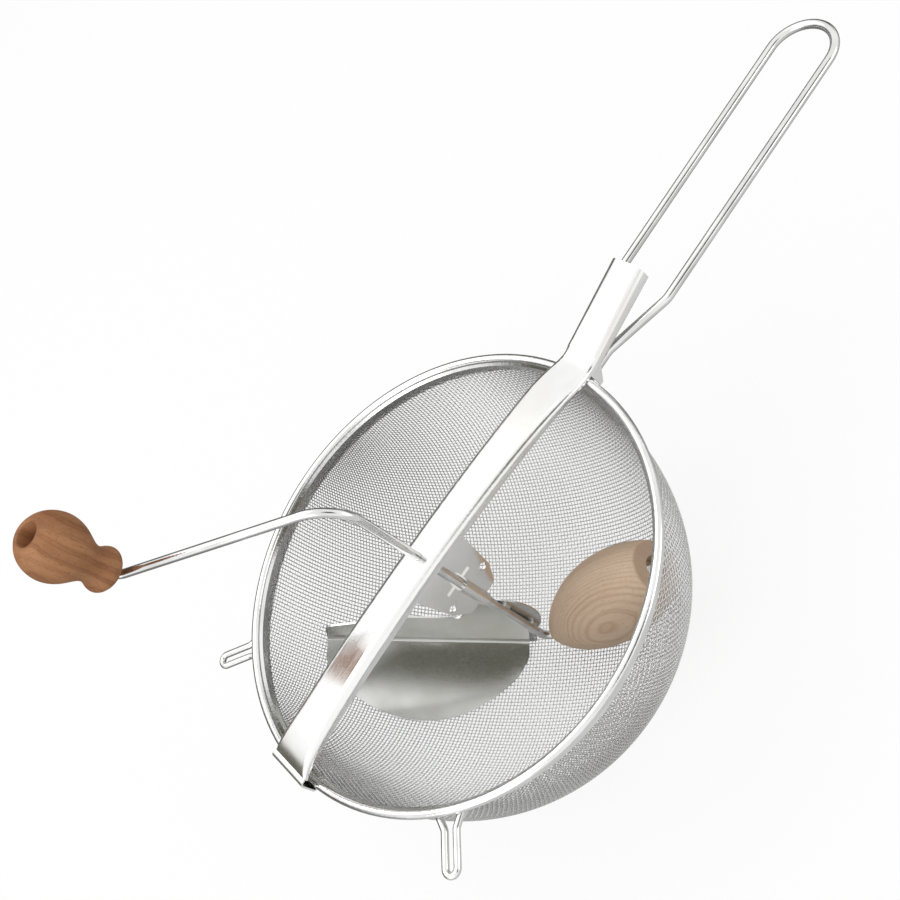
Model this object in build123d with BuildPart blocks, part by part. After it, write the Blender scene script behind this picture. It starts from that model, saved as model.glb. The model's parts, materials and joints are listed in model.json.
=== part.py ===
# Tomato strainer with a crank: a wire mesh bowl in a wired rim, a sprung
# crossbar clamped over the rim, and a bent wire crank that carries a beech
# roller, a sheet scraper and a beech knob.
#
# Millimetres. Z is the axis of the bowl and of the crank, up; X runs along the
# handle. The origin is on that axis, in the plane where the handle and the two
# hook loops lie on the edge of a pot.
import os
from math import cos, pi, radians, sin

from build123d import *

os.makedirs("parts", exist_ok=True)

# --- sheet and wire ---------------------------------------------------------
SHEET = 0.8  # tinned sheet of the crossbar, bearing and scraper
BAND_SHEET = 0.4  # thin band that is rolled over the rim wire
RUNNING_FIT = 0.08  # radial clearance of a wire that turns in a hole
WELD_SINK = 0.15  # how far a welded end sits in what it is welded to
SEAT = 0.1  # how far a sprung piece presses into the rim

# --- mesh bowl --------------------------------------------------------------
BOWL_R = 96.3  # outside, where the wall starts to curve in
BOWL_DEPTH = 94.0  # from that height down to the bottom
BOWL_SPRING = 1.0  # height where the wall starts to curve in
BOWL_POWER = 0.8  # under 1 makes the bowl fuller than an ellipse
MESH_T = 0.9  # two crossing wires

# --- rim --------------------------------------------------------------------
RIM_TOP = 7.0
RIM_WIRE_R = 1.6
ROLL_R = RIM_WIRE_R + BAND_SHEET
ROLL_Z = RIM_TOP - ROLL_R
ROLL_RADIUS = BOWL_R + 1.6  # radius of the ring that the roll's centre follows
SKIRT_BOTTOM = -2.5  # lower edge of the outer leaf
INNER_BOTTOM = 0.8  # lower edge of the inner leaf
LEAF_GAP = 0.03  # slack of the mesh between the two leaves
MESH_TOP = ROLL_Z - 1.3  # the mesh ends just under the roll
RIM_OUTSIDE = ROLL_RADIUS + ROLL_R
SKIRT_R = BOWL_R + LEAF_GAP + BAND_SHEET  # outside of the outer leaf

# --- hook loops; lengths from the skirt outwards ------------------------------
HOOK_ANGLES = (140.0, 225.0)  # where they stand round the rim, from the handle
HOOK_WIRE_R = 1.5
HOOK_LENGTH = 25.3
HOOK_HALF_W = 2.6  # half the distance between its two wires
HOOK_SPLAY = 5.6  # half the distance of its feet on the rim
HOOK_NECK = 7.3  # where the splayed feet come together
HOOK_BEND = 4.0
HOOK_FOOT = 0.3  # start of the wire's middle, its splayed edge sinks in the band

# --- wire handle; lengths from the skirt outwards -----------------------------
HANDLE_WIRE_R = 2.0
HANDLE_LENGTH = 183.3
HANDLE_HALF_W = 15.0  # half the distance between its two wires
HANDLE_NECK_HALF_W = 4.6  # the same where they meet the rim
HANDLE_NECK = 17.3  # the wires start to part here
HANDLE_SHOULDER = 47.3  # and are at full width here
HANDLE_BEND = 9.0
HANDLE_START_Z = 1.0
HANDLE_PITCH = 1.0  # degrees that the handle climbs away from the rim

# --- crossbar: one strip, arched across, seen as sections along the span -------
BAR_SECTIONS = (  # place as a share of the rim's radius, half width, height over the rim, depth
    (-0.94, 10.6, 8.2, 3.2),
    (-0.80, 9.9, 10.5, 4.5),
    (-0.60, 9.6, 12.1, 5.0),
    (-0.40, 9.45, 13.0, 5.3),
    (-0.20, 9.3, 13.5, 5.5),
    (0.00, 9.2, 13.5, 5.5),
    (0.20, 9.25, 13.0, 5.4),
    (0.40, 9.4, 11.95, 5.2),
    (0.60, 9.6, 10.2, 4.8),
    (0.80, 10.0, 7.5, 3.9),
    (0.91, 10.1, 5.2, 3.2),
)
ARCH_SHARE = 0.75  # rounding of the strip's top as a share of its depth
BAR_TOP = RIM_TOP + 13.4  # top of the arch over the axis
SADDLE_HALF_W = 9.4  # pinched section that lies on the rim
SADDLE_DEEP = 2.9
TAIL_HALF_W = 11.2  # far end, folded down outside the rim and in below its roll
TAIL_HEIGHT = 5.4  # of its top over the rim
TAIL_DEEP = 2.0
TAIL_GAP = 0.5  # between the fold and the rim's outside
TAIL_FOLD_R = 1.6
TONGUE_BEND_R = 1.2
LEVER_START = RIM_OUTSIDE + 0.5
LEVER_TAB = 6.5  # width of the two tabs that grip the outside of the rim, at their root
TAB_TIP = 1.8  # and at their lower end
TAB_BOTTOM = -1.8
LEVER_LENGTH = 46.1  # from the rim's outside
LEVER_HALF_W = 9.2
LEVER_TOP = (10.4, 19.0)  # top of the lever at its two ends
LEVER_DEEP = (4.2, 6.2)  # depth of its sides at the two ends
LEVER_HEM_R = 1.0

# --- lower bearing under the bar -------------------------------------------
PLATE_TOP_HALF_W = 19.0
PLATE_SHOULDER = (13.6, -22.0)
PLATE_FOOT_HALF_W = 8.6
PLATE_BOTTOM = -32.0
PLATE_HOLE = (11.0, -19.5)
PLATE_HOLE_R = 1.9
PLATE_CORNER_R = 3.0
STRAP_HALF_W = 7.4
STRAP_BOTTOM = -31.0
STRAP_TOP = -12.0

# --- crank ------------------------------------------------------------------
CRANK_WIRE_R = 2.0
CRANK_ANGLE = -44.5  # direction of the roller as photographed
CRANK_TOP = 74.3  # corner where the shaft turns into the arm
ARM_LENGTH = 107.0
ARM_RISE = 5.5
ARM_BEND = 17.0
TIGHT_BEND = 4.5
AXLE_LIFT = 6.0  # from the bowl's bottom up to the roller's end of the shaft
AXLE_LOW = BOWL_SPRING - BOWL_DEPTH + AXLE_LIFT  # corner where the axle starts
AXLE_PITCH = 28.0  # degrees that the axle climbs outwards
HEAD_R = 3.1  # spread wire end that holds the knob and the roller
HEAD_H = 1.3
HEAD_ROUND = 0.6
WASHER_R = 4.6
WASHER_T = 0.8

# --- beech roller; it fills the room between its axle and the mesh --------------
ROLLER_START = 8.0  # distance of its nose from the low corner of the crank
ROLLER_END = BOWL_R - 13.3
ROLLER_MID = 0.52  # place of the second of the gaps, as a share of its length
ROLLER_GAPS = (5.15, 1.4, 1.8)  # nose, middle and outer face to the mesh
ROLLER_ROUNDS = (2.0, 1.6)  # corners of the nose and of the outer face
ROLLER_SINK_R = 5.6
ROLLER_SINK = 6.0

# --- beech knob -------------------------------------------------------------
KNOB_LENGTH = 41.7
KNOB_SINK_R = 5.4
KNOB_SINK = 8.0
KNOB_FOOT = 8.2  # radii of the turned outline
KNOB_COLLAR = (9.8, 3.6)  # radius, and height over the foot
KNOB_NECK = (7.8, 9.6)
KNOB_SHOULDER = (10.9, 17.8)
KNOB_BULB = (14.2, 28.4)
KNOB_LIP = 1.6  # flat ring left round the sunk hole

# --- scraper ----------------------------------------------------------------
SCRAPER_ANGLE = 133.0  # direction of its panel round the shaft
WALL_GAP = 0.6  # between the scraper and the mesh
HEM_LOW = (12.0, AXLE_LOW - 3.0)  # the crease between panel and blade
HEM_HIGH = (BOWL_R - 7.5, BOWL_SPRING - 0.375 * BOWL_DEPTH)
PANEL_LOW = (HEM_LOW[0] - 3.0, HEM_LOW[1] - 2.3)
PANEL_TOP = (  # outer end of the panel, then down to its waist and up to the lobe
    (HEM_HIGH[0] - 7.0, HEM_HIGH[1] + 11.0),
    (HEM_HIGH[0] - 19.0, HEM_HIGH[1] + 7.5),
    (43.0, PLATE_BOTTOM - 2.5),
    (23.5, PLATE_BOTTOM - 17.0),
    (15.0, PLATE_BOTTOM - 8.5),
    (5.0, PLATE_BOTTOM - 3.5),
)
LOBE_BACK = (-8.8, PLATE_BOTTOM - 22.0)  # the lobe runs round behind the shaft
LOBE_FOOT = (0.5, AXLE_LOW + 10.0)
PANEL_CORNERS = (3.0, 5.0, 6.0, 5.0, 4.0, 2.0)  # rounding, from the crease's end on
BLADE_FOLD = 66.0  # degrees between the panel and the blade
BLADE_WIDE = 46.0
BLADE_DISH = -2.0  # depth of its hollow, less than nothing where it swells
BLADE_LAP = 6.0  # flat strip of the blade's sheet that goes over into the panel
FOLD_ROUND = 2.4
TACK_R = 1.1
TACK_SINK = 0.3
TACK_HEIGHTS = (PLATE_BOTTOM - 14.0, AXLE_LOW + 17.0)
TACK_LENGTH = 5.0


def bowl_outline(inset, top):
    """Half section of the bowl, closed on its axis and drawn inset from the outside."""
    radius = BOWL_R - inset
    depth = BOWL_DEPTH - inset
    turns = [k * pi / 12 for k in range(6)]
    shape = [
        (radius * cos(a) ** BOWL_POWER, BOWL_SPRING - depth * sin(a) ** BOWL_POWER)
        for a in turns
    ]
    shape.append((0, BOWL_SPRING - depth))
    with BuildLine() as outline:
        wall = Line((radius, top), shape[0])
        Spline(*shape, tangents=((0, -1), (-1, 0)))
        axis_side = Line(shape[-1], (0, top))
        Line(axis_side @ 1, wall @ 0)
    return outline.line


def channel(half_w, deep, round_r):
    """Section of an arched sheet channel, open below, with its top at the origin."""
    with BuildSketch() as section:
        with Locations((0, -deep / 2)):
            Rectangle(2 * half_w, deep)
        fillet(section.vertices().group_by(Axis.Y)[-1], round_r)
        with BuildSketch(mode=Mode.SUBTRACT) as inside:
            with Locations((0, -SHEET - deep / 2)):
                Rectangle(2 * (half_w - SHEET), deep)
            fillet(inside.vertices().group_by(Axis.Y)[-1], round_r - SHEET)
    return section.sketch


def upright(direction, origin=(0, 0, 0), turn=0.0):
    """Plane that holds Z, with its x axis at an angle round Z, tipped up by turn."""
    a = radians(direction)
    flat = Vector(cos(a), sin(a), 0)
    along = flat * cos(radians(turn)) + Vector(0, 0, sin(radians(turn)))
    side = flat.cross(Vector(0, 0, 1))
    return Plane(origin=origin, x_dir=along, z_dir=side)


# --- mesh bowl --------------------------------------------------------------
with BuildPart() as mesh_bowl:
    with BuildSketch(Plane.XZ):
        make_face(bowl_outline(0, MESH_TOP))
        make_face(bowl_outline(MESH_T, MESH_TOP), mode=Mode.SUBTRACT)
    revolve(axis=Axis.Z)
mesh_bowl.part.label = "mesh_bowl"

# --- rim: wire, and the band rolled over it with a leaf on each side of the mesh
with BuildPart() as rim_wire:
    with BuildSketch(Plane.XZ):
        with Locations((ROLL_RADIUS, ROLL_Z)):
            Circle(RIM_WIRE_R)
    revolve(axis=Axis.Z)
rim_wire.part.label = "rim_wire"

with BuildPart() as rim_band:
    outer_leaf = ROLL_Z - ROLL_R / 2 - SKIRT_BOTTOM
    inner_leaf = BOWL_R - MESH_T - LEAF_GAP - BAND_SHEET / 2
    with BuildSketch(Plane.XZ):
        with Locations((ROLL_RADIUS, ROLL_Z)):
            Circle(ROLL_R)
        with Locations((SKIRT_R - BAND_SHEET / 2, SKIRT_BOTTOM)):
            Rectangle(BAND_SHEET, outer_leaf, align=(Align.CENTER, Align.MIN))
        with BuildLine():
            Polyline(
                (inner_leaf, INNER_BOTTOM),
                (inner_leaf, MESH_TOP + BAND_SHEET / 2),
                (ROLL_RADIUS - RIM_WIRE_R - BAND_SHEET / 2, ROLL_Z),
            )
        trace(line_width=BAND_SHEET)
        with Locations((ROLL_RADIUS, ROLL_Z)):
            Circle(RIM_WIRE_R, mode=Mode.SUBTRACT)
    revolve(axis=Axis.Z)
rim_band.part.label = "rim_band"


# --- hook loops, welded to the rim ------------------------------------------
def hook_loop(direction):
    """One hairpin of wire that stands out level from the rim."""
    bend = HOOK_LENGTH - HOOK_WIRE_R - HOOK_HALF_W
    foot = [(HOOK_FOOT, HOOK_SPLAY), (HOOK_NECK, HOOK_HALF_W), (bend, HOOK_HALF_W)]
    outwards = Vector(cos(radians(direction)), sin(radians(direction)), 0)
    with BuildPart() as loop:
        flat = Plane(
            origin=outwards * SKIRT_R + Vector(0, 0, HOOK_WIRE_R),
            x_dir=outwards,
            z_dir=(0, 0, 1),
        )
        with BuildLine(flat) as path:
            FilletPolyline(*[(x, -y) for x, y in foot], radius=HOOK_BEND)
            ThreePointArc(
                (bend, -HOOK_HALF_W), (bend + HOOK_HALF_W, 0), (bend, HOOK_HALF_W)
            )
            FilletPolyline(*reversed(foot), radius=HOOK_BEND)
        with BuildSketch(Plane(origin=path.line @ 0, z_dir=path.line % 0)):
            Circle(HOOK_WIRE_R)
        sweep()
    return loop.part


hook_far = hook_loop(HOOK_ANGLES[0])
hook_far.label = "hook_far"
hook_near = hook_loop(HOOK_ANGLES[1])
hook_near.label = "hook_near"

# --- wire handle: one long loop whose two ends are welded to the rim ---------
with BuildPart() as handle_wire:
    loop_start = HANDLE_LENGTH - HANDLE_WIRE_R - HANDLE_HALF_W
    level = upright(0, (SKIRT_R, 0, HANDLE_START_Z), HANDLE_PITCH)
    flat = Plane(origin=level.origin, x_dir=level.x_dir, z_dir=level.y_dir)
    neck = [
        (-WELD_SINK, HANDLE_NECK_HALF_W),
        (HANDLE_NECK, HANDLE_NECK_HALF_W),
        (HANDLE_SHOULDER, HANDLE_HALF_W),
        (loop_start, HANDLE_HALF_W),
    ]
    with BuildLine(flat) as path:
        FilletPolyline(*[(x, -y) for x, y in neck], radius=HANDLE_BEND)
        ThreePointArc(
            (loop_start, -HANDLE_HALF_W),
            (loop_start + HANDLE_HALF_W, 0),
            (loop_start, HANDLE_HALF_W),
        )
        FilletPolyline(*reversed(neck), radius=HANDLE_BEND)
    with BuildSketch(Plane(origin=path.line @ 0, z_dir=path.line % 0)):
        Circle(HANDLE_WIRE_R)
    sweep()
handle_wire.part.label = "handle_wire"

# --- crossbar: arched strip, sprung over the rim ----------------------------
across = Plane(origin=(0, 0, 0), x_dir=(0, 1, 0), z_dir=(1, 0, 0))
tail_top = RIM_TOP + TAIL_HEIGHT
lever_root = LEVER_START + LEVER_TAB
lever_end = RIM_OUTSIDE + LEVER_LENGTH
lever_root_low = LEVER_TOP[0] - LEVER_DEEP[0]
lever_end_low = LEVER_TOP[1] - LEVER_DEEP[1]
span = [(-ROLL_RADIUS, TAIL_HALF_W, tail_top, TAIL_DEEP)]
span += [(ROLL_RADIUS * share, w, RIM_TOP + up, deep) for share, w, up, deep in BAR_SECTIONS]
span.append((ROLL_RADIUS, SADDLE_HALF_W, RIM_TOP - SEAT + SADDLE_DEEP, SADDLE_DEEP))
span.append((lever_root, LEVER_HALF_W, LEVER_TOP[0], LEVER_DEEP[0]))
lever = [span[-1], (lever_end, LEVER_HALF_W, LEVER_TOP[1], LEVER_DEEP[1])]


def strip_sections(places):
    """The strip's arched section at each place along X."""
    faces = []
    for x, half_w, top, deep in places:
        with BuildSketch(across.offset(x)) as section:
            with Locations((0, top)):
                add(channel(half_w, deep, ARCH_SHARE * deep))
        faces.append(section.sketch.face())
    return faces


with BuildPart() as crossbar:
    loft(strip_sections(span))
    loft(strip_sections(lever), ruled=True)
    # the far end goes down outside the rim and its tongue turns in below the roll
    fold_x = -RIM_OUTSIDE - TAIL_GAP - SHEET / 2
    tongue_z = ROLL_Z - ROLL_R + SEAT - SHEET / 2
    with BuildSketch(Plane.XZ) as tail:
        with BuildLine():
            FilletPolyline(
                (-ROLL_RADIUS, tail_top - SHEET / 2),
                (fold_x, tail_top - SHEET / 2),
                (fold_x, tongue_z),
                (-SKIRT_R - TAIL_GAP, tongue_z),
                radius=(TAIL_FOLD_R, TONGUE_BEND_R),
            )
        trace(line_width=SHEET)
    extrude(amount=TAIL_HALF_W, both=True)
    for side in (-1, 1):
        # a tab of each lever side grips the outside of the rim
        with BuildSketch(Plane.XZ.offset(-side * (LEVER_HALF_W - SHEET / 2))):
            with BuildLine():
                Polyline(
                    (LEVER_START, TAB_BOTTOM),
                    (LEVER_START, lever_root_low + SHEET),
                    (lever_root, lever_root_low + SHEET),
                    (lever_root, lever_root_low),
                    (LEVER_START + TAB_TIP, TAB_BOTTOM),
                    close=True,
                )
            make_face()
        extrude(amount=SHEET / 2, both=True)
        # folded hem along the lower edge
        inward = side * (LEVER_HALF_W - LEVER_HEM_R)
        with BuildLine() as hem:
            Line((lever_root, inward, lever_root_low), (lever_end, inward, lever_end_low))
        with BuildSketch(Plane(origin=hem.line @ 0, z_dir=hem.line % 0)):
            Circle(LEVER_HEM_R)
        sweep(path=hem.line)
    # the hole that the crank turns in
    with Locations((0, 0, BAR_TOP)):
        Cylinder(CRANK_WIRE_R + RUNNING_FIT, 6 * SHEET, mode=Mode.SUBTRACT)
crossbar.part.label = "crossbar"

# --- lower bearing: a plate hung from the bar and a strap round the shaft ----
plate_face = CRANK_WIRE_R + RUNNING_FIT
plate_top = BAR_TOP - SHEET
with BuildPart() as bearing_plate:
    side_edge = [
        (PLATE_TOP_HALF_W, plate_top),
        PLATE_SHOULDER,
        (PLATE_FOOT_HALF_W, PLATE_BOTTOM),
    ]
    with BuildSketch(Plane.XZ.offset(-plate_face)) as plate_sketch:
        with BuildLine():
            Polyline(*side_edge, *[(-x, z) for x, z in reversed(side_edge)], close=True)
        make_face()
        fillet(plate_sketch.vertices().group_by(Axis.Y)[0:2], PLATE_CORNER_R)
        with Locations(PLATE_HOLE, (-PLATE_HOLE[0], PLATE_HOLE[1])):
            Circle(PLATE_HOLE_R, mode=Mode.SUBTRACT)
    extrude(amount=-SHEET)
bearing_plate.part.label = "bearing_plate"

with BuildPart() as bearing_strap:
    outside = plate_face + SHEET
    towards_plate = (Align.CENTER, Align.MIN)
    with BuildSketch(Plane.XY.offset(STRAP_BOTTOM)):
        with Locations((0, plate_face - SHEET)):
            Rectangle(2 * STRAP_HALF_W, SHEET, align=towards_plate)
        Rectangle(2 * outside, plate_face, align=towards_plate)
        Circle(outside)
        with Locations((0, plate_face)):
            Rectangle(2 * outside, outside, align=towards_plate, mode=Mode.SUBTRACT)
        Rectangle(2 * plate_face, plate_face, align=towards_plate, mode=Mode.SUBTRACT)
        Circle(plate_face, mode=Mode.SUBTRACT)
    extrude(amount=STRAP_TOP - STRAP_BOTTOM)
bearing_strap.part.label = "bearing_strap"

# --- crank: one bent wire, knob pin, arm, shaft and axle ---------------------
crank_plane = upright(CRANK_ANGLE)
axle_plane = upright(CRANK_ANGLE, (0, 0, AXLE_LOW), AXLE_PITCH)
axle = axle_plane.x_dir
arm_z = CRANK_TOP + ARM_RISE
knob_foot = arm_z + TIGHT_BEND
knob_top = knob_foot + KNOB_LENGTH
pin_end = knob_top - KNOB_SINK + WASHER_T + HEAD_H
axle_end = ROLLER_END - ROLLER_SINK + WASHER_T + HEAD_H
with BuildPart() as crank_wire:
    reach = axle_end * cos(radians(AXLE_PITCH))
    climb = axle_end * sin(radians(AXLE_PITCH))
    with BuildLine(crank_plane) as path:
        FilletPolyline(
            (-ARM_LENGTH, pin_end),
            (-ARM_LENGTH, arm_z),
            (0, CRANK_TOP),
            (0, AXLE_LOW),
            (reach, AXLE_LOW + climb),
            radius=(TIGHT_BEND, ARM_BEND, TIGHT_BEND),
        )
    with BuildSketch(Plane(origin=path.line @ 0, z_dir=path.line % 0)):
        Circle(CRANK_WIRE_R)
    sweep()
    # the wire ends are spread into heads
    with BuildSketch(Plane(origin=path.line @ 0, z_dir=path.line % 0)):
        Circle(HEAD_R)
    extrude(amount=HEAD_H)
    with BuildSketch(Plane(origin=path.line @ 1, z_dir=path.line % 1)):
        Circle(HEAD_R)
    extrude(amount=-HEAD_H)
    for wire_end in (path.line @ 0, path.line @ 1):
        fillet(crank_wire.faces().sort_by_distance(wire_end)[0].edges(), HEAD_ROUND)
crank_wire.part.label = "crank_wire"

# --- beech roller on the inclined axle --------------------------------------
mesh_wall = bowl_outline(MESH_T, MESH_TOP).edges().sort_by(Edge.length)[-1]


def roller_place(share, gap):
    """A point of the roller's outline: along the axle, and its radius there."""
    along = ROLLER_START + share * (ROLLER_END - ROLLER_START)
    slope = radians(AXLE_PITCH)
    middle = Vector(along * cos(slope), AXLE_LOW + along * sin(slope))
    square = Vector(sin(slope), -cos(slope)) * BOWL_DEPTH
    at_mesh = Edge.make_line(middle, middle + square).intersect(mesh_wall)[0].center()
    return (along, (at_mesh - middle).length - gap)


nose_edge, widest, face_edge = [
    roller_place(share, gap) for share, gap in zip((0, ROLLER_MID, 1), ROLLER_GAPS)
]
with BuildPart() as roller:
    with BuildSketch(axle_plane) as half:
        with BuildLine():
            nose = Line((ROLLER_START, 0), nose_edge)
            belly = ThreePointArc(nose_edge, widest, face_edge)
            face = Line(belly @ 1, (ROLLER_END, ROLLER_SINK_R))
            Polyline(
                face @ 1,
                (ROLLER_END - ROLLER_SINK, ROLLER_SINK_R),
                (ROLLER_END - ROLLER_SINK, 0),
                nose @ 0,
            )
        make_face()
        for corner, round_r in zip((nose_edge, face_edge), ROLLER_ROUNDS):
            fillet(half.vertices().sort_by_distance((*corner, 0))[0], round_r)
    revolve(axis=Axis(axle_plane.origin, axle))
    with Locations(Plane(origin=axle_plane.origin, z_dir=axle)):
        Cylinder(
            CRANK_WIRE_R + RUNNING_FIT,
            ROLLER_END,
            align=(Align.CENTER, Align.CENTER, Align.MIN),
            mode=Mode.SUBTRACT,
        )
roller.part.label = "roller"

with BuildPart() as roller_washer:
    with BuildSketch(Plane(origin=axle_plane.origin + axle * (ROLLER_END - ROLLER_SINK), z_dir=axle)):
        Circle(WASHER_R)
        Circle(CRANK_WIRE_R, mode=Mode.SUBTRACT)
    extrude(amount=WASHER_T)
roller_washer.part.label = "roller_washer"

# --- beech knob on the upright pin ------------------------------------------
knob_centre = crank_plane.x_dir * -ARM_LENGTH
knob_axis = Axis(knob_centre, (0, 0, 1))
with BuildPart() as knob:
    with BuildSketch(upright(CRANK_ANGLE, knob_centre)):
        bore = CRANK_WIRE_R + RUNNING_FIT
        lip = KNOB_SINK_R + KNOB_LIP
        turned = (KNOB_COLLAR, KNOB_NECK, KNOB_SHOULDER, KNOB_BULB)
        with BuildLine():
            body = Spline(
                (KNOB_FOOT, knob_foot),
                *[(r, knob_foot + up) for r, up in turned],
                tangents=((0.7, 0.7), (0, 1)),
            )
            TangentArc(body @ 1, (lip, knob_top), tangent=(0, 1))
            Polyline(
                (lip, knob_top),
                (KNOB_SINK_R, knob_top),
                (KNOB_SINK_R, knob_top - KNOB_SINK),
                (bore, knob_top - KNOB_SINK),
                (bore, knob_foot),
                body @ 0,
            )
        make_face()
    revolve(axis=knob_axis)
knob.part.label = "knob"

with BuildPart() as knob_washer:
    with BuildSketch(Plane.XY.offset(knob_top - KNOB_SINK)):
        with Locations((knob_centre.X, knob_centre.Y)):
            Circle(WASHER_R)
            Circle(CRANK_WIRE_R, mode=Mode.SUBTRACT)
    extrude(amount=WASHER_T)
knob_washer.part.label = "knob_washer"

# --- scraper: a panel along the shaft and a dished blade that follows the wall
panel = upright(SCRAPER_ANGLE)
hem_run = Vector(*HEM_HIGH) - Vector(*HEM_LOW)
hem_dir = hem_run.normalized()
along_hem = panel.x_dir * hem_dir.X + Vector(0, 0, hem_dir.Y)
below_hem = panel.x_dir * hem_dir.Y - Vector(0, 0, hem_dir.X)
hem_start = panel.x_dir * HEM_LOW[0] + Vector(0, 0, HEM_LOW[1])
panel_back = -CRANK_WIRE_R - SHEET / 2
with BuildPart() as cavity:
    with BuildSketch(Plane.XZ):
        make_face(bowl_outline(MESH_T + WALL_GAP, BOWL_SPRING + 1))
    revolve(axis=Axis.Z)
with BuildPart() as scraper:
    with BuildSketch(panel.offset(CRANK_WIRE_R)) as ear:
        with BuildLine():
            Line(PANEL_LOW, HEM_HIGH)
            Polyline(HEM_HIGH, *PANEL_TOP)
            ThreePointArc(PANEL_TOP[-1], LOBE_BACK, LOBE_FOOT)
            Line(LOBE_FOOT, PANEL_LOW)
        make_face()
        for corner, round_r in zip((HEM_HIGH, *PANEL_TOP[:-1]), PANEL_CORNERS):
            fillet(ear.vertices().sort_by_distance((*corner, 0))[0], round_r)
    extrude(amount=SHEET)
    with BuildSketch(Plane(origin=hem_start, x_dir=below_hem, z_dir=along_hem)):
        fold = radians(BLADE_FOLD)
        tip = (BLADE_WIDE * cos(fold), panel_back + BLADE_WIDE * sin(fold))
        middle = (
            tip[0] / 2 + BLADE_DISH * sin(fold),
            (tip[1] + panel_back) / 2 - BLADE_DISH * cos(fold),
        )
        with BuildLine() as bent:
            Line((-BLADE_LAP, panel_back), (0, panel_back))
            ThreePointArc((0, panel_back), middle, tip)
            fillet(bent.vertices().sort_by_distance((0, panel_back, 0))[0], FOLD_ROUND)
        trace(line_width=SHEET)
    extrude(amount=hem_run.length)
    add(cavity.part, mode=Mode.INTERSECT)
scraper.part.label = "scraper"

# --- two tacks of solder between the panel and the shaft --------------------
with BuildPart() as scraper_tacks:
    for height in TACK_HEIGHTS:
        for side in (-1, 1):
            corner = (panel.x_dir * side + panel.z_dir) * (CRANK_WIRE_R - TACK_SINK)
            with Locations(Plane(origin=corner + Vector(0, 0, height), z_dir=(0, 0, 1))):
                Cylinder(TACK_R, TACK_LENGTH)
    fillet(scraper_tacks.edges().filter_by(GeomType.CIRCLE), TACK_R * 0.6)
    add(crank_wire.part, mode=Mode.SUBTRACT)
    add(scraper.part, mode=Mode.SUBTRACT)
scraper_tacks.part.label = "scraper_tacks"

PIECES = {
    "mesh_bowl": mesh_bowl.part,
    "rim_wire": rim_wire.part,
    "rim_band": rim_band.part,
    "hook_far": hook_far,
    "hook_near": hook_near,
    "handle_wire": handle_wire.part,
    "crossbar": crossbar.part,
    "bearing_plate": bearing_plate.part,
    "bearing_strap": bearing_strap.part,
    "crank_wire": crank_wire.part,
    "roller": roller.part,
    "roller_washer": roller_washer.part,
    "knob": knob.part,
    "knob_washer": knob_washer.part,
    "scraper": scraper.part,
    "scraper_tacks": scraper_tacks.part,
}
for name, piece in PIECES.items():
    export_step(piece, f"parts/{name}.step")
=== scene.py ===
import json
from math import cos, pi, radians, sin

import bpy
import numpy as np
from mathutils import Matrix, Vector


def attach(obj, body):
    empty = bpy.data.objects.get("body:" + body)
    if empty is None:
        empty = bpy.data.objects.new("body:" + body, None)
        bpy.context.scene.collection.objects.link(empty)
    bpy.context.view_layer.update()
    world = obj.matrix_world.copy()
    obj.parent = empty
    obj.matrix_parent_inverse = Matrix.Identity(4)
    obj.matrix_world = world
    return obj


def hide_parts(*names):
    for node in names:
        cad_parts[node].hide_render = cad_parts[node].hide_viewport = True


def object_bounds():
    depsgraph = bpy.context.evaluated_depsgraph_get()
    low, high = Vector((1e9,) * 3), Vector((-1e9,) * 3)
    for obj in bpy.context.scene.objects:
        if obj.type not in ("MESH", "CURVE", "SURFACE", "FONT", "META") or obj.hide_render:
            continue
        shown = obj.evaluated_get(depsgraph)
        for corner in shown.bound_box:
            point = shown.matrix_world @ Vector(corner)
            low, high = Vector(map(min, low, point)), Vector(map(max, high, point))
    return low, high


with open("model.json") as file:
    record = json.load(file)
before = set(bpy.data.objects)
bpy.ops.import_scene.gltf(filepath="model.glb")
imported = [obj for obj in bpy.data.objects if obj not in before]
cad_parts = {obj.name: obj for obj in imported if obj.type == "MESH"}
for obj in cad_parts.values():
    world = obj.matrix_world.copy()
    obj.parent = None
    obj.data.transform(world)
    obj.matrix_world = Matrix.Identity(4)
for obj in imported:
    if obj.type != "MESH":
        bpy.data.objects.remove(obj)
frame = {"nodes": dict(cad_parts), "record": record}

CAD_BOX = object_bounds()
NODES = frame["nodes"]
MM = 0.001


# --- camera, as fitted to the rim's ellipse and the ends of the crossbar --------
CAMERA_TURN = (-3.2096, 46.4853, 307.2049)  # azimuth, elevation and roll in degrees
CAMERA_PLACE = (5.687, 48.290, 500.50)  # mm along the camera's own axes
CAMERA_AIM = Vector((0, 0, 7))  # mm
SENSOR_WIDTH = 36
FOCAL_LENGTH = 48.987


def place_camera():
    az, el, roll = (radians(a) for a in CAMERA_TURN)
    back = Vector((sin(az) * cos(el), -cos(az) * cos(el), sin(el)))
    right = Vector((0, 0, 1)).cross(back).normalized()
    up = back.cross(right)
    x_axis = cos(roll) * right + sin(roll) * up
    y_axis = -sin(roll) * right + cos(roll) * up
    right_by, up_by, back_by = CAMERA_PLACE
    spot = (x_axis * right_by + y_axis * up_by + back * back_by + CAMERA_AIM) * MM
    turn = Matrix((x_axis, y_axis, back)).transposed().to_4x4()
    data = bpy.data.cameras.new("camera")
    data.sensor_width = SENSOR_WIDTH
    data.lens = FOCAL_LENGTH
    data.clip_start = 0.01
    cam = bpy.data.objects.new("camera", data)
    cam.matrix_world = Matrix.Translation(spot) @ turn
    bpy.context.scene.collection.objects.link(cam)
    bpy.context.scene.camera = cam


place_camera()


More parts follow.
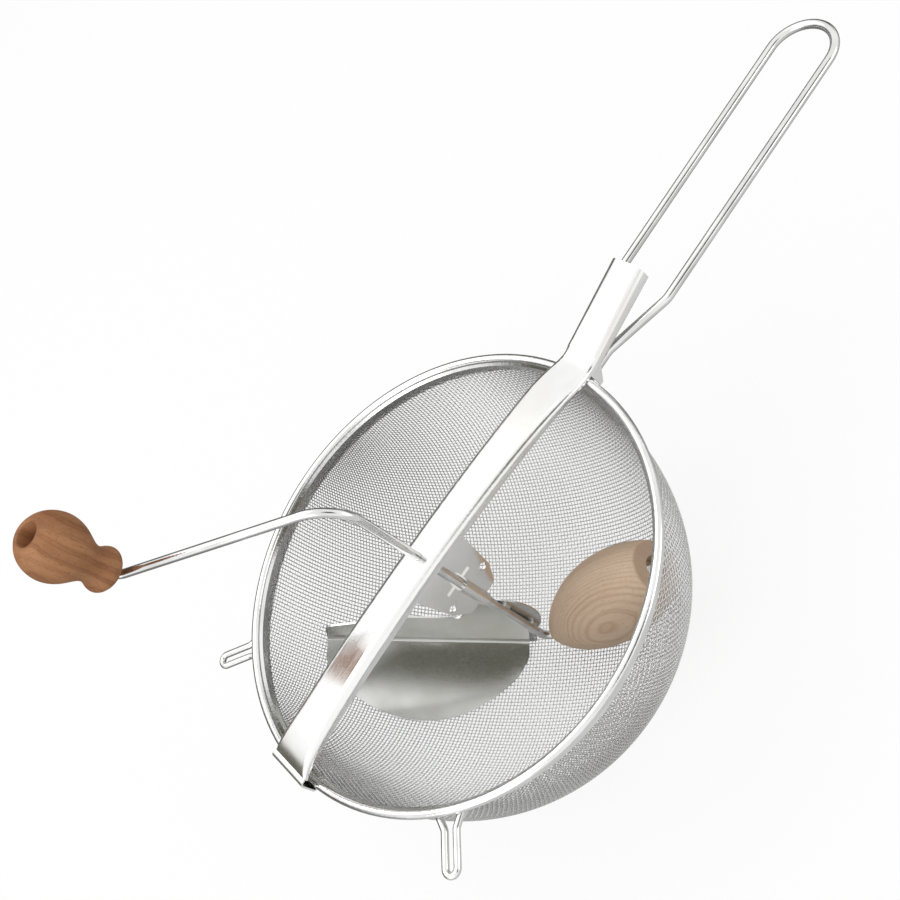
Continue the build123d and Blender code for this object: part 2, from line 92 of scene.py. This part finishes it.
# --- node helpers ---------------------------------------------------------------
class Tree:
    """A node tree, with short calls for the nodes used here."""

    def __init__(self, tree):
        self.tree = tree

    def node(self, kind, **settings):
        n = self.tree.nodes.new(kind)
        for key, value in settings.items():
            setattr(n, key, value)
        return n

    def link(self, a, b):
        self.tree.links.new(a, b)

    def put(self, socket, value):
        if hasattr(value, "is_linked"):
            self.link(value, socket)
        else:
            socket.default_value = value

    def coords(self, scale=(1, 1, 1)):
        tex = self.node("ShaderNodeTexCoord")
        m = self.node("ShaderNodeMapping")
        m.inputs["Scale"].default_value = scale
        self.link(tex.outputs["Object"], m.inputs["Vector"])
        return m.outputs["Vector"]

    def noise(self, vector, scale, detail=3.0, rough=0.5, warp=0.0):
        n = self.node("ShaderNodeTexNoise")
        self.put(n.inputs["Vector"], vector)
        n.inputs["Scale"].default_value = scale
        n.inputs["Detail"].default_value = detail
        n.inputs["Roughness"].default_value = rough
        n.inputs["Distortion"].default_value = warp
        return n.outputs["Fac"]

    def turned(self, origin, along):
        """Coordinates of a piece turned from wood: z runs along its axis."""
        a = Vector(along).normalized()
        u = a.orthogonal().normalized()
        tex = self.node("ShaderNodeTexCoord")
        shift = self.node("ShaderNodeVectorMath", operation="SUBTRACT")
        shift.inputs[1].default_value = origin
        self.link(tex.outputs["Object"], shift.inputs[0])
        parts = [self.dot(shift.outputs[0], way) for way in (u, a.cross(u), a)]
        return (*parts, self.math("ABSOLUTE", self.dot(tex.outputs["Normal"], a)))

    def dot(self, vector, way):
        n = self.node("ShaderNodeVectorMath", operation="DOT_PRODUCT")
        n.inputs[1].default_value = way
        self.link(vector, n.inputs[0])
        return n.outputs["Value"]

    def split(self, vector):
        n = self.node("ShaderNodeSeparateXYZ")
        self.link(vector, n.inputs[0])
        return n.outputs

    def join(self, x, y, z):
        n = self.node("ShaderNodeCombineXYZ")
        for socket, value in zip(n.inputs, (x, y, z)):
            self.put(socket, value)
        return n.outputs[0]

    def math(self, op, a, b=0.0, clamp=False):
        n = self.node("ShaderNodeMath", operation=op, use_clamp=clamp)
        self.put(n.inputs[0], a)
        self.put(n.inputs[1], b)
        return n.outputs[0]

    def ramp(self, fac, stops):
        n = self.node("ShaderNodeValToRGB")
        r = n.color_ramp
        while len(r.elements) < len(stops):
            r.elements.new(0.5)
        for e, (at, colour) in zip(r.elements, stops):
            e.position = at
            e.color = (*colour, 1)
        self.link(fac, n.inputs["Fac"])
        return n.outputs["Color"]

    def span(self, fac, lo, hi, a, b, ease="LINEAR"):
        n = self.node("ShaderNodeMapRange", interpolation_type=ease)
        for key, value in zip(("Value", "From Min", "From Max", "To Min", "To Max"), (fac, lo, hi, a, b)):
            self.put(n.inputs[key], value)
        return n.outputs["Result"]

    def mix(self, fac, a, b):
        n = self.node("ShaderNodeMix", data_type="RGBA")
        self.put(n.inputs[0], fac)
        for socket, value in ((n.inputs[6], a), (n.inputs[7], b)):
            self.put(socket, value if hasattr(value, "is_linked") else (*value, 1))
        return n.outputs[2]

    def bump(self, height, strength, distance, normal=None):
        n = self.node("ShaderNodeBump")
        n.inputs["Strength"].default_value = strength
        n.inputs["Distance"].default_value = distance
        self.link(height, n.inputs["Height"])
        if normal is not None:
            self.link(normal, n.inputs["Normal"])
        return n.outputs["Normal"]


class Graph(Tree):
    """Node tree of a new material."""

    def __init__(self, name):
        self.mat = bpy.data.materials.new(name)
        self.mat.use_nodes = True
        super().__init__(self.mat.node_tree)
        self.tree.nodes.clear()
        self.out = self.node("ShaderNodeOutputMaterial")

    def surface(self, **sockets):
        s = self.node("ShaderNodeBsdfPrincipled")
        for key, value in sockets.items():
            self.put(s.inputs[key.replace("_", " ")], value)
        self.link(s.outputs[0], self.out.inputs["Surface"])
        return self.mat


# --- materials ------------------------------------------------------------------
def tinned_wire(name):
    """Bright tinned wire: slow runs of the tin, fine draw lines and dull spots."""
    g = Graph(name)
    place = g.coords()
    runs = g.noise(place, 60, 2, 0.5)
    grit = g.noise(place, 900, 3, 0.6)
    tone = g.ramp(runs, [(0.3, (0.70, 0.70, 0.69)), (0.7, (0.86, 0.86, 0.86))])
    rough = g.math("ADD", g.span(runs, 0.3, 0.7, 0.10, 0.20), g.span(grit, 0.4, 0.7, 0.0, 0.06))
    normal = g.bump(runs, 0.25, 0.0006, g.bump(grit, 0.12, 0.0001))
    return g.surface(Base_Color=tone, Metallic=1.0, Roughness=rough, Normal=normal)


def tinned_sheet(name, along, polish, ripple_depth, tones=((0.90, 0.90, 0.89), (0.82, 0.81, 0.77))):
    """Tinned sheet: rolling lines, a hand-wiped ripple and a warm bloom in patches."""
    g = Graph(name)
    place = g.coords()
    stretch = tuple(0.12 if a else 1.0 for a in along)
    lines = g.noise(g.coords(scale=stretch), 1400, 4, 0.65)
    ripple = g.noise(place, 30, 2, 0.5, 0.4)
    bloom = g.noise(place, 26, 3, 0.6)
    tone = g.mix(g.span(bloom, 0.45, 0.75, 0.0, 1.0), *tones)
    low, high = polish
    rough = g.math("ADD", g.span(bloom, 0.35, 0.7, low, high), g.span(lines, 0.35, 0.7, 0.0, 0.06))
    normal = g.bump(ripple, 0.5, ripple_depth, g.bump(lines, 0.10, 0.0001))
    return g.surface(Base_Color=tone, Metallic=1.0, Roughness=rough, Normal=normal)


LEAF_EDGE = (0.0958, 0.0962)  # the inner leaf lies inside this radius
LEAF_TOP = (0.0006, 0.0)  # and below this height


def crimped_band(name):
    """Rim band: bright tinned roll; dark marks low on the inner leaf are partly the cloth's cut wire tips
    pressed into it and partly painted shade where the leaf meets the mesh.
    """
    g = Graph(name)
    place = g.coords()
    x, y, z = g.split(place)
    out = g.math("SQRT", g.math("ADD", g.math("MULTIPLY", x, x), g.math("MULTIPLY", y, y)))
    inner = g.math("MULTIPLY", g.span(out, *LEAF_EDGE, 1.0, 0.0), g.span(z, *LEAF_TOP, 0.0, 1.0))
    # noise for the dark marks on the inner leaf: the cloth's cut wire tips, and painted shade where the
    # leaf meets the mesh
    tips_and_shade_noise = g.noise(place, 620, 1, 0.5)
    tips_and_painted_shade = g.math("MULTIPLY", inner, g.span(tips_and_shade_noise, 0.42, 0.54, 0.0, 1.0))
    runs = g.noise(place, 60, 2, 0.5)
    tone = g.mix(g.span(runs, 0.3, 0.7, 0.0, 1.0), (0.72, 0.72, 0.71), (0.86, 0.86, 0.86))
    # near-black marks: partly the cloth's cut wire tips, partly painted shade in the crevice between leaf
    # and mesh
    tone = g.mix(tips_and_painted_shade, tone, (0.12, 0.12, 0.11))
    rough = g.math("ADD", g.span(runs, 0.3, 0.7, 0.10, 0.18), g.math("MULTIPLY", inner, 0.15))
    normal = g.bump(tips_and_shade_noise, 0.3, 0.0002, g.bump(runs, 0.2, 0.0004))
    return g.surface(Base_Color=tone, Metallic=1.0, Roughness=rough, Normal=normal)


def mesh_wire(name):
    """Fine tinned mesh wire, satin, a little greyer where the tin is thin."""
    g = Graph(name)
    place = g.coords()
    patch = g.noise(place, 35, 3, 0.6)
    grain = g.noise(place, 1600, 2, 0.5)
    tone = g.mix(patch, (0.64, 0.64, 0.64), (0.74, 0.74, 0.73))
    rough = g.span(grain, 0.3, 0.7, 0.20, 0.34)
    return g.surface(Base_Color=tone, Metallic=1.0, Roughness=rough)


def solder(name):
    """Dull grey solder with a soft lumpy skin."""
    g = Graph(name)
    place = g.coords()
    lumps = g.noise(place, 700, 2, 0.5)
    tone = g.mix(lumps, (0.62, 0.62, 0.61), (0.78, 0.78, 0.77))
    rough = g.span(lumps, 0.3, 0.7, 0.28, 0.45)
    return g.surface(Base_Color=tone, Metallic=1.0, Roughness=rough, Normal=g.bump(lumps, 0.5, 0.0004))


def beech(name, origin, along, pith, ring, tilt, tones):
    """Turned beech: rings about a far pith, ray flecks, fine fibres, darker end grain."""
    g = Graph(name)
    u, v, w, end = g.turned(origin, along)
    drift = g.noise(g.join(u, v, g.math("MULTIPLY", w, 0.3)), 45, 3, 0.55)
    wander = g.math("MULTIPLY", g.math("SUBTRACT", drift, 0.5), 2.2 * ring)
    du = g.math("SUBTRACT", u, pith[0])
    dv = g.math("SUBTRACT", v, pith[1])
    radius = g.math("SQRT", g.math("ADD", g.math("MULTIPLY", du, du), g.math("MULTIPLY", dv, dv)))
    depth = g.math("ADD", g.math("ADD", radius, g.math("MULTIPLY", w, tilt)), wander)
    wave = g.math("SINE", g.math("MULTIPLY", depth, 2 * pi / ring))
    late = g.ramp(
        g.span(wave, -1, 1, 0, 1),
        [(0.0, (0, 0, 0)), (0.55, (0.15,) * 3), (0.9, (1, 1, 1)), (1.0, (0.5,) * 3)])
    swell_place = g.join(g.math("MULTIPLY", depth, 0.9 / ring), 2.0, g.math("MULTIPLY", w, 8.0))
    swell = g.noise(swell_place, 1.0, 2, 0.5)
    long = g.math("MULTIPLY", w, 0.16)
    fleck = g.noise(g.join(u, v, long), 1500, 2, 0.5)
    fibre = g.noise(g.join(u, v, g.math("MULTIPLY", w, 0.05)), 2600, 3, 0.6)
    clouds = g.noise(g.join(u, v, long), 90, 3, 0.6)
    pale, mid, dark = tones
    tone = g.mix(g.span(clouds, 0.3, 0.7, 0.0, 1.0), pale, mid)
    tone = g.mix(g.math("MULTIPLY", late, g.span(swell, 0.3, 0.65, 0.15, 0.65)), tone, dark)
    tone = g.mix(g.span(fleck, 0.56, 0.72, 0.0, 0.45), tone, dark)
    tone = g.mix(g.span(fibre, 0.35, 0.7, 0.0, 0.20), tone, dark)
    tone = g.mix(g.span(end, 0.80, 0.97, 0.0, 0.35), tone, dark)
    normal = g.bump(fibre, 0.25, 0.0002, g.bump(fleck, 0.2, 0.0002))
    rough = g.span(fibre, 0.3, 0.7, 0.50, 0.66)
    return g.surface(Base_Color=tone, Roughness=rough, Normal=normal, Specular_IOR_Level=0.35)


AXLE_AZ = radians(-44.5)
AXLE_UP = radians(28.0)
AXLE = Vector((cos(AXLE_AZ) * cos(AXLE_UP), sin(AXLE_AZ) * cos(AXLE_UP), sin(AXLE_UP)))
AXLE_LOW = Vector((0, 0, -87 * MM))
ARM_LENGTH = 107 * MM
KNOB_SPOT = Vector((-ARM_LENGTH * cos(AXLE_AZ), -ARM_LENGTH * sin(AXLE_AZ), 100 * MM))
ROLLER_PITH = (0.0152, -0.0424)  # beside the roller's axis, so that the rings cut its side
KNOB_PITH = (-0.034, 0.012)
PALE_BEECH = ((0.66, 0.51, 0.37), (0.60, 0.45, 0.32), (0.42, 0.27, 0.18))
WARM_BEECH = ((0.50, 0.245, 0.108), (0.31, 0.13, 0.053), (0.18, 0.06, 0.022))

MATS = {
    "mesh": mesh_wire("mesh_wire"),
    "tinned_wire": tinned_wire("tinned_wire"),
    "tinned_band": crimped_band("tinned_band"),
    "tinned_sheet": tinned_sheet("tinned_sheet", (1, 0, 0), (0.14, 0.22), 0.0003),
    "solder": solder("solder"),
    "beech_pale": beech("beech_pale", AXLE_LOW, AXLE, ROLLER_PITH, 0.0013, 0.08, PALE_BEECH),
    "beech_warm": beech("beech_warm", KNOB_SPOT, (0, 0, 1), KNOB_PITH, 0.0052, 0.03, WARM_BEECH),
}


def dress(node, mat):
    ob = NODES[node]
    if not ob.material_slots:
        ob.data.materials.append(mat)
    for s in ob.material_slots:
        s.link = "OBJECT"
        s.material = mat


for part in frame["record"]["subparts"]:
    dress(part["node"], MATS[part["material_slot"]])
GREY_TIN = ((0.72, 0.72, 0.70), (0.62, 0.62, 0.58))
dress("scraper", tinned_sheet("grey_sheet", (0, 0, 1), (0.10, 0.16), 0.0001, GREY_TIN))
BRIGHT_SHEET = tinned_sheet("bright_sheet", (1, 0, 0), (0.05, 0.10), 0.0001)
dress("bearing_plate", BRIGHT_SHEET)
dress("bearing_strap", BRIGHT_SHEET)


# --- mesh bowl: two families of wire woven one over the other, draped over the bowl
WIRE_R = 0.225 * MM
PITCH = 1.7 * MM
CLOTH_TURN = radians(35.0)
BOWL_R = 95.85 * MM
BOWL_DEPTH = 93.55 * MM
BOWL_SPRING = 1.0 * MM
BOWL_POWER = 0.8
CLOTH_TOP = 3.4 * MM


class Bowl:
    """The bowl's middle surface, as arc length from the bottom and turn round the axis."""

    def __init__(self):
        a = np.linspace(pi / 2, 0, 4000)
        r = np.maximum(BOWL_R * np.cos(a), 0) ** BOWL_POWER * BOWL_R ** (1 - BOWL_POWER)
        z = BOWL_SPRING - BOWL_DEPTH * np.sin(a) ** BOWL_POWER
        r[0] = 0
        self.r = np.append(r, BOWL_R)
        self.z = np.append(z, BOWL_SPRING + 60 * MM)
        self.s = np.concatenate([[0], np.cumsum(np.hypot(np.diff(self.r), np.diff(self.z)))])
        self.top = self.s[-2] + CLOTH_TOP - BOWL_SPRING

    def at(self, s, turn):
        r = np.interp(s, self.s, self.r)
        return np.stack([r * np.cos(turn), r * np.sin(turn), np.interp(s, self.s, self.z)], -1)


def cloth_quarter(bowl, pitch, n):
    """Crossings of a quarter of the cloth: every mesh keeps its sides and shears."""
    spot = np.full((n, n, 3), np.nan)
    arc = np.full((n, n), np.nan)
    arc[:, 0] = arc[0, :] = np.arange(n) * pitch
    spot[:, 0] = bowl.at(arc[:, 0], 0)
    spot[0, :] = bowl.at(arc[0, :], pi / 2)
    step = 1e-7  # for the slopes
    for k in range(2, 2 * n - 1):
        i = np.arange(max(1, k - n + 1), min(n - 1, k - 1) + 1)
        j = k - i
        a, b, c = spot[i - 1, j], spot[i, j - 1], spot[i - 1, j - 1]
        known = ~np.isnan(a[:, 0]) & ~np.isnan(b[:, 0])
        if not known.any():
            continue
        i, j, a, b, c = i[known], j[known], a[known], b[known], c[known]
        guess = a + b - c
        t = np.arctan2(guess[:, 1], guess[:, 0])
        s = np.maximum(arc[i - 1, j] + arc[i, j - 1] - arc[i - 1, j - 1], pitch / 2)
        for _ in range(8):
            x = bowl.at(s, t)
            x_s = (bowl.at(s + step, t) - x) / step
            x_t = (bowl.at(s, t + step) - x) / step
            fa = ((x - a) ** 2).sum(1) - pitch**2
            fb = ((x - b) ** 2).sum(1) - pitch**2
            a1, a2 = 2 * ((x - a) * x_s).sum(1), 2 * ((x - a) * x_t).sum(1)
            b1, b2 = 2 * ((x - b) * x_s).sum(1), 2 * ((x - b) * x_t).sum(1)
            det = a1 * b2 - a2 * b1
            det[np.abs(det) < 1e-16] = np.nan
            s = s - np.clip((fa * b2 - fb * a2) / det, -pitch, pitch)
            t = t - np.clip((a1 * fb - b1 * fa) / det, -0.3, 0.3)
        x = bowl.at(s, t)
        off = sum(np.abs(np.linalg.norm(x - near, axis=1) - pitch) for near in (a, b))
        bad = (off > 0.03 * pitch) | (np.linalg.norm(x - c, axis=1) < 0.15 * pitch)
        x[bad] = np.nan
        spot[i, j], arc[i, j] = x, s
    return spot, arc


def cloth_grid(bowl, pitch):
    """All crossings of the cloth, four quarters about its two straight wires."""
    n = int(bowl.top / pitch) + 12
    spot, arc = cloth_quarter(bowl, pitch, n)
    grid = np.full((2 * n - 1, 2 * n - 1, 3), np.nan)
    arcs = np.full((2 * n - 1, 2 * n - 1), np.nan)
    for quarter in range(4):
        a = quarter * pi / 2 + CLOTH_TURN
        turn = np.array([[cos(a), -sin(a), 0], [sin(a), cos(a), 0], [0, 0, 1]])
        i, j = np.meshgrid(np.arange(n), np.arange(n), indexing="ij")
        for _ in range(quarter):
            i, j = -j, i
        grid[i + n - 1, j + n - 1] = spot @ turn.T
        arcs[i + n - 1, j + n - 1] = arc
    return grid, arcs


def outward(points):
    """Outward normal of the bowl's middle surface at points on it."""
    r = np.hypot(points[:, 0], points[:, 1])
    down = np.maximum(BOWL_SPRING - points[:, 2], 0)
    power = 2 / BOWL_POWER - 1
    side = (r / BOWL_R) ** power / BOWL_R
    low = (down / BOWL_DEPTH) ** power / BOWL_DEPTH
    flat = points[:, :2] / np.maximum(r, 1e-9)[:, None]
    normal = np.column_stack([flat * side[:, None], -low])
    return normal / np.linalg.norm(normal, axis=1)[:, None]


def strands(grid, arcs, top, parity):
    """Runs of wire down the grid's first index, cut at the rim, with their side of the weave."""
    for j in range(grid.shape[1]):
        inside = np.flatnonzero(arcs[:, j] <= top)
        if len(inside) < 2:
            continue
        reach = np.arange(inside[0] - 1, inside[-1] + 2)
        points, arc = grid[reach, j].copy(), arcs[reach, j]
        sides = np.where((reach + j + parity) % 2, 1.0, -1.0)
        for end, near in ((0, 1), (-1, -2)):
            share = (top - arc[near]) / (arc[end] - arc[near])
            points[end] = points[near] + share * (points[end] - points[near])
            sides[end] = sides[near] + share * (sides[end] - sides[near])
        if np.isnan(points).any():
            continue
        run = np.empty((len(points) * 2 - 1, 3))
        run[0::2] = points
        run[1::2] = (points[1:] + points[:-1]) / 2
        height = np.empty(len(run))
        height[0::2] = sides
        height[1::2] = (sides[1:] + sides[:-1]) / 2
        yield run, height


def tube_mesh(name, runs, radius, corners=4):
    """One mesh of tubes along runs of points; a run brings its surface normals."""
    verts, faces, at = [], [], 0
    angles = np.arange(corners) * 2 * pi / corners
    for points, normals in runs:
        along = np.gradient(points, axis=0)
        along /= np.linalg.norm(along, axis=1)[:, None]
        side = np.cross(along, normals)
        side /= np.linalg.norm(side, axis=1)[:, None]
        up = np.cross(side, along)
        ring = (
            np.cos(angles)[None, :, None] * side[:, None, :]
            + np.sin(angles)[None, :, None] * up[:, None, :])
        verts.append((points[:, None, :] + radius * ring).reshape(-1, 3))
        n = len(points)
        start = np.arange(n - 1)[:, None] * corners + at
        base = start + np.arange(corners)[None, :]
        nxt = start + (np.arange(corners)[None, :] + 1) % corners
        faces.append(np.stack([base, nxt, nxt + corners, base + corners], -1).reshape(-1, 4))
        at += n * corners
    verts, faces = np.concatenate(verts), np.concatenate(faces)
    mesh = bpy.data.meshes.new(name)
    mesh.vertices.add(len(verts))
    mesh.vertices.foreach_set("co", verts.ravel())
    mesh.loops.add(faces.size)
    mesh.loops.foreach_set("vertex_index", faces.ravel().astype(np.int32))
    mesh.polygons.add(len(faces))
    mesh.polygons.foreach_set("loop_start", np.arange(0, faces.size, 4, dtype=np.int32))
    mesh.polygons.foreach_set("use_smooth", np.ones(len(faces), dtype=bool))
    mesh.update(calc_edges=True)
    mesh.validate()
    return mesh


def weave_bowl():
    """The wire cloth as one mesh of tubes, in the bowl's place."""
    bowl = Bowl()
    grid, arcs = cloth_grid(bowl, PITCH)
    runs = []
    for family, (g, a) in enumerate(((grid, arcs), (grid.transpose(1, 0, 2), arcs.T))):
        for points, height in strands(g, a, bowl.top, family):
            normal = outward(points)
            runs.append((points + normal * (height * WIRE_R)[:, None], normal))
    mesh = tube_mesh("wire_cloth", runs, WIRE_R)
    mesh.materials.append(MATS["mesh"])
    cloth = bpy.data.objects.new("wire_cloth", mesh)
    bpy.context.scene.collection.objects.link(cloth)
    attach(cloth, "sieve")
    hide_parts("mesh_bowl")


weave_bowl()


# --- knob: turned in wood, pear shaped, with a sunk hole over the wire's head ----
KNOB_FOOT = 84.3  # all lengths here in mm
KNOB_OUTLINE = (  # height over the foot and radius
    (0.6, 8.5), (1.6, 9.3), (3.4, 9.8), (5.2, 9.4), (7.4, 8.35), (9.6, 7.8), (12.0, 8.1),
    (15.0, 9.35), (18.0, 11.0), (21.5, 12.75), (25.0, 13.85), (28.4, 14.2), (31.6, 13.85),
    (34.6, 12.95), (37.2, 11.6), (39.4, 9.85), (41.0, 8.0))
KNOB_LIP = ((41.5, 7.35), (41.7, 6.9), (41.7, 6.1), (41.55, 5.7), (41.2, 5.4))
KNOB_SINK = ((34.0, 5.4), (33.75, 5.3), (33.7, 5.0), (33.7, 2.08))
KNOB_HEEL = ((0.0, 2.08), (0.0, 7.7), (0.15, 8.1))


def smooth_run(points, steps):
    """Curve through points, with slopes from their neighbours."""
    p = np.array(points, float)
    at = np.concatenate([[0], np.cumsum(np.linalg.norm(np.diff(p, axis=0), axis=1))])
    slope = np.gradient(p, at, axis=0)
    run = []
    for k in range(len(p) - 1):
        t = np.linspace(0, 1, steps, endpoint=False)[:, None]
        gap = at[k + 1] - at[k]
        run.append(
            (2 * t**3 - 3 * t**2 + 1) * p[k] + (t**3 - 2 * t**2 + t) * gap * slope[k]
            + (3 * t**2 - 2 * t**3) * p[k + 1] + (t**3 - t**2) * gap * slope[k + 1])
    return np.concatenate(run + [p[-1:]])


def turn_knob(corners=112):
    """The knob as one closed skin, from the bore at the foot round to the bore in the sunk hole."""
    outline = np.concatenate([KNOB_HEEL, smooth_run(KNOB_OUTLINE, 5), KNOB_LIP, KNOB_SINK])
    angles = np.arange(corners) * 2 * pi / corners
    height, radius = outline[:, 0], outline[:, 1]
    verts = np.stack([
        radius[:, None] * np.cos(angles) * MM + KNOB_SPOT.x,
        radius[:, None] * np.sin(angles) * MM + KNOB_SPOT.y,
        np.repeat(((height + KNOB_FOOT) * MM)[:, None], corners, 1)], -1).reshape(-1, 3)
    n = len(outline)
    ring, spoke = np.meshgrid(np.arange(n), np.arange(corners), indexing="ij")
    a = ring * corners + spoke
    b = ring * corners + (spoke + 1) % corners
    c = (ring + 1) % n * corners + (spoke + 1) % corners
    d = (ring + 1) % n * corners + spoke
    faces = np.stack([a, b, c, d], -1).reshape(-1, 4)
    mesh = bpy.data.meshes.new("turned_knob")
    mesh.from_pydata(verts.tolist(), [], faces.tolist())
    mesh.polygons.foreach_set("use_smooth", np.ones(len(faces), dtype=bool))
    mesh.update()
    mesh.materials.append(MATS["beech_warm"])
    knob = bpy.data.objects.new("turned_knob", mesh)
    bpy.context.scene.collection.objects.link(knob)
    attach(knob, "knob")
    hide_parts("knob")


turn_knob()


# --- floor, light and backdrop --------------------------------------------------
FLOOR_HALF = 3.0
FLOOR_WHITE = 0.86  # share of the plain white in what the camera and mirrors see of the floor
FLOOR_MIRRORED = ((-0.10, 0.04), (0.66, 0.10))  # along Y, and its brightness there in mirrors
SKY_LIGHT = (0.8, 1.05)  # for light on the object, and as seen by the camera and in mirrors
ROOM_LOW = (0.32, 0.48)  # mirrors see a dark room below this height of the sky,
ROOM_FAR = (0.0, 0.45)  # on the +Y side,
ROOM_TONE = (0.10, 0.10, 0.075)
STAND_WAY = Vector((0.26, -0.68, 0.66)).normalized()  # and where a photographer stands
STAND_EDGE = (0.945, 0.99)


def lay_floor():
    z = CAD_BOX[0][2]
    r = FLOOR_HALF
    mesh = bpy.data.meshes.new("floor")
    mesh.from_pydata([(-r, -r, z), (r, -r, z), (r, r, z), (-r, r, z)], [], [(0, 1, 2, 3)])
    floor = bpy.data.objects.new("floor", mesh)
    bpy.context.scene.collection.objects.link(floor)
    g = Graph("floor")
    path = g.node("ShaderNodeLightPath").outputs
    diffuse = g.node("ShaderNodeBsdfDiffuse")
    tone = g.mix(path["Is Diffuse Ray"], (0.92, 0.92, 0.92), (0.50, 0.50, 0.50))
    g.link(tone, diffuse.inputs["Color"])
    along, levels = FLOOR_MIRRORED
    fade = g.span(g.split(g.coords())["Y"], *along, *levels)
    mirrored = g.math("MAXIMUM", path["Is Glossy Ray"], path["Is Transmission Ray"])
    seen = g.math("MAXIMUM", path["Is Camera Ray"], mirrored)
    glow = g.node("ShaderNodeEmission")
    g.link(g.span(mirrored, 0, 1, 1.0, fade), glow.inputs["Strength"])
    mix = g.node("ShaderNodeMixShader")
    g.link(g.math("MULTIPLY", seen, FLOOR_WHITE), mix.inputs[0])
    g.link(diffuse.outputs[0], mix.inputs[1])
    g.link(glow.outputs[0], mix.inputs[2])
    g.link(mix.outputs[0], g.out.inputs["Surface"])
    mesh.materials.append(g.mat)


def light_sky():
    """White all round for the camera; mirrors also see a dark room and a photographer."""
    world = bpy.data.worlds.new("world")
    bpy.context.scene.world = world
    world.use_nodes = True
    background = world.node_tree.nodes["Background"]
    g = Tree(world.node_tree)
    way = g.node("ShaderNodeTexCoord").outputs["Generated"]
    place = g.split(way)
    low = g.span(place["Z"], *ROOM_LOW, 1.0, 0.0, ease="SMOOTHSTEP")
    far = g.span(place["Y"], *ROOM_FAR, 0.0, 1.0, ease="SMOOTHSTEP")
    stand = g.span(g.dot(way, STAND_WAY), *STAND_EDGE, 0.0, 1.0, ease="SMOOTHSTEP")
    dark = g.math("MAXIMUM", g.math("MULTIPLY", low, far), stand)
    path = g.node("ShaderNodeLightPath").outputs
    dark = g.math("SUBTRACT", dark, path["Is Camera Ray"], clamp=True)
    g.link(g.mix(dark, (1.0, 1.0, 1.0), ROOM_TONE), background.inputs["Color"])
    shown = g.math("MAXIMUM", path["Is Camera Ray"], path["Is Glossy Ray"])
    g.link(g.span(shown, 0, 1, *SKY_LIGHT), background.inputs["Strength"])


def softbox(name, spot, size, power):
    """Rectangular lamp that faces the origin."""
    data = bpy.data.lights.new(name, "AREA")
    data.shape = "RECTANGLE"
    data.size, data.size_y = size
    data.energy = power
    lamp = bpy.data.objects.new(name, data)
    lamp.location = spot
    lamp.rotation_euler = (-Vector(spot)).to_track_quat("-Z", "Y").to_euler()
    bpy.context.scene.collection.objects.link(lamp)


lay_floor()
light_sky()
softbox("top", (-0.2, 0.5, 1.3), (1.4, 1.0), 7)
softbox("side", (-1.2, -0.6, 0.8), (0.9, 0.9), 4)
softbox("low", (0.9, -0.9, 0.15), (0.7, 0.4), 2)
bpy.context.scene.view_settings.view_transform = "Standard"
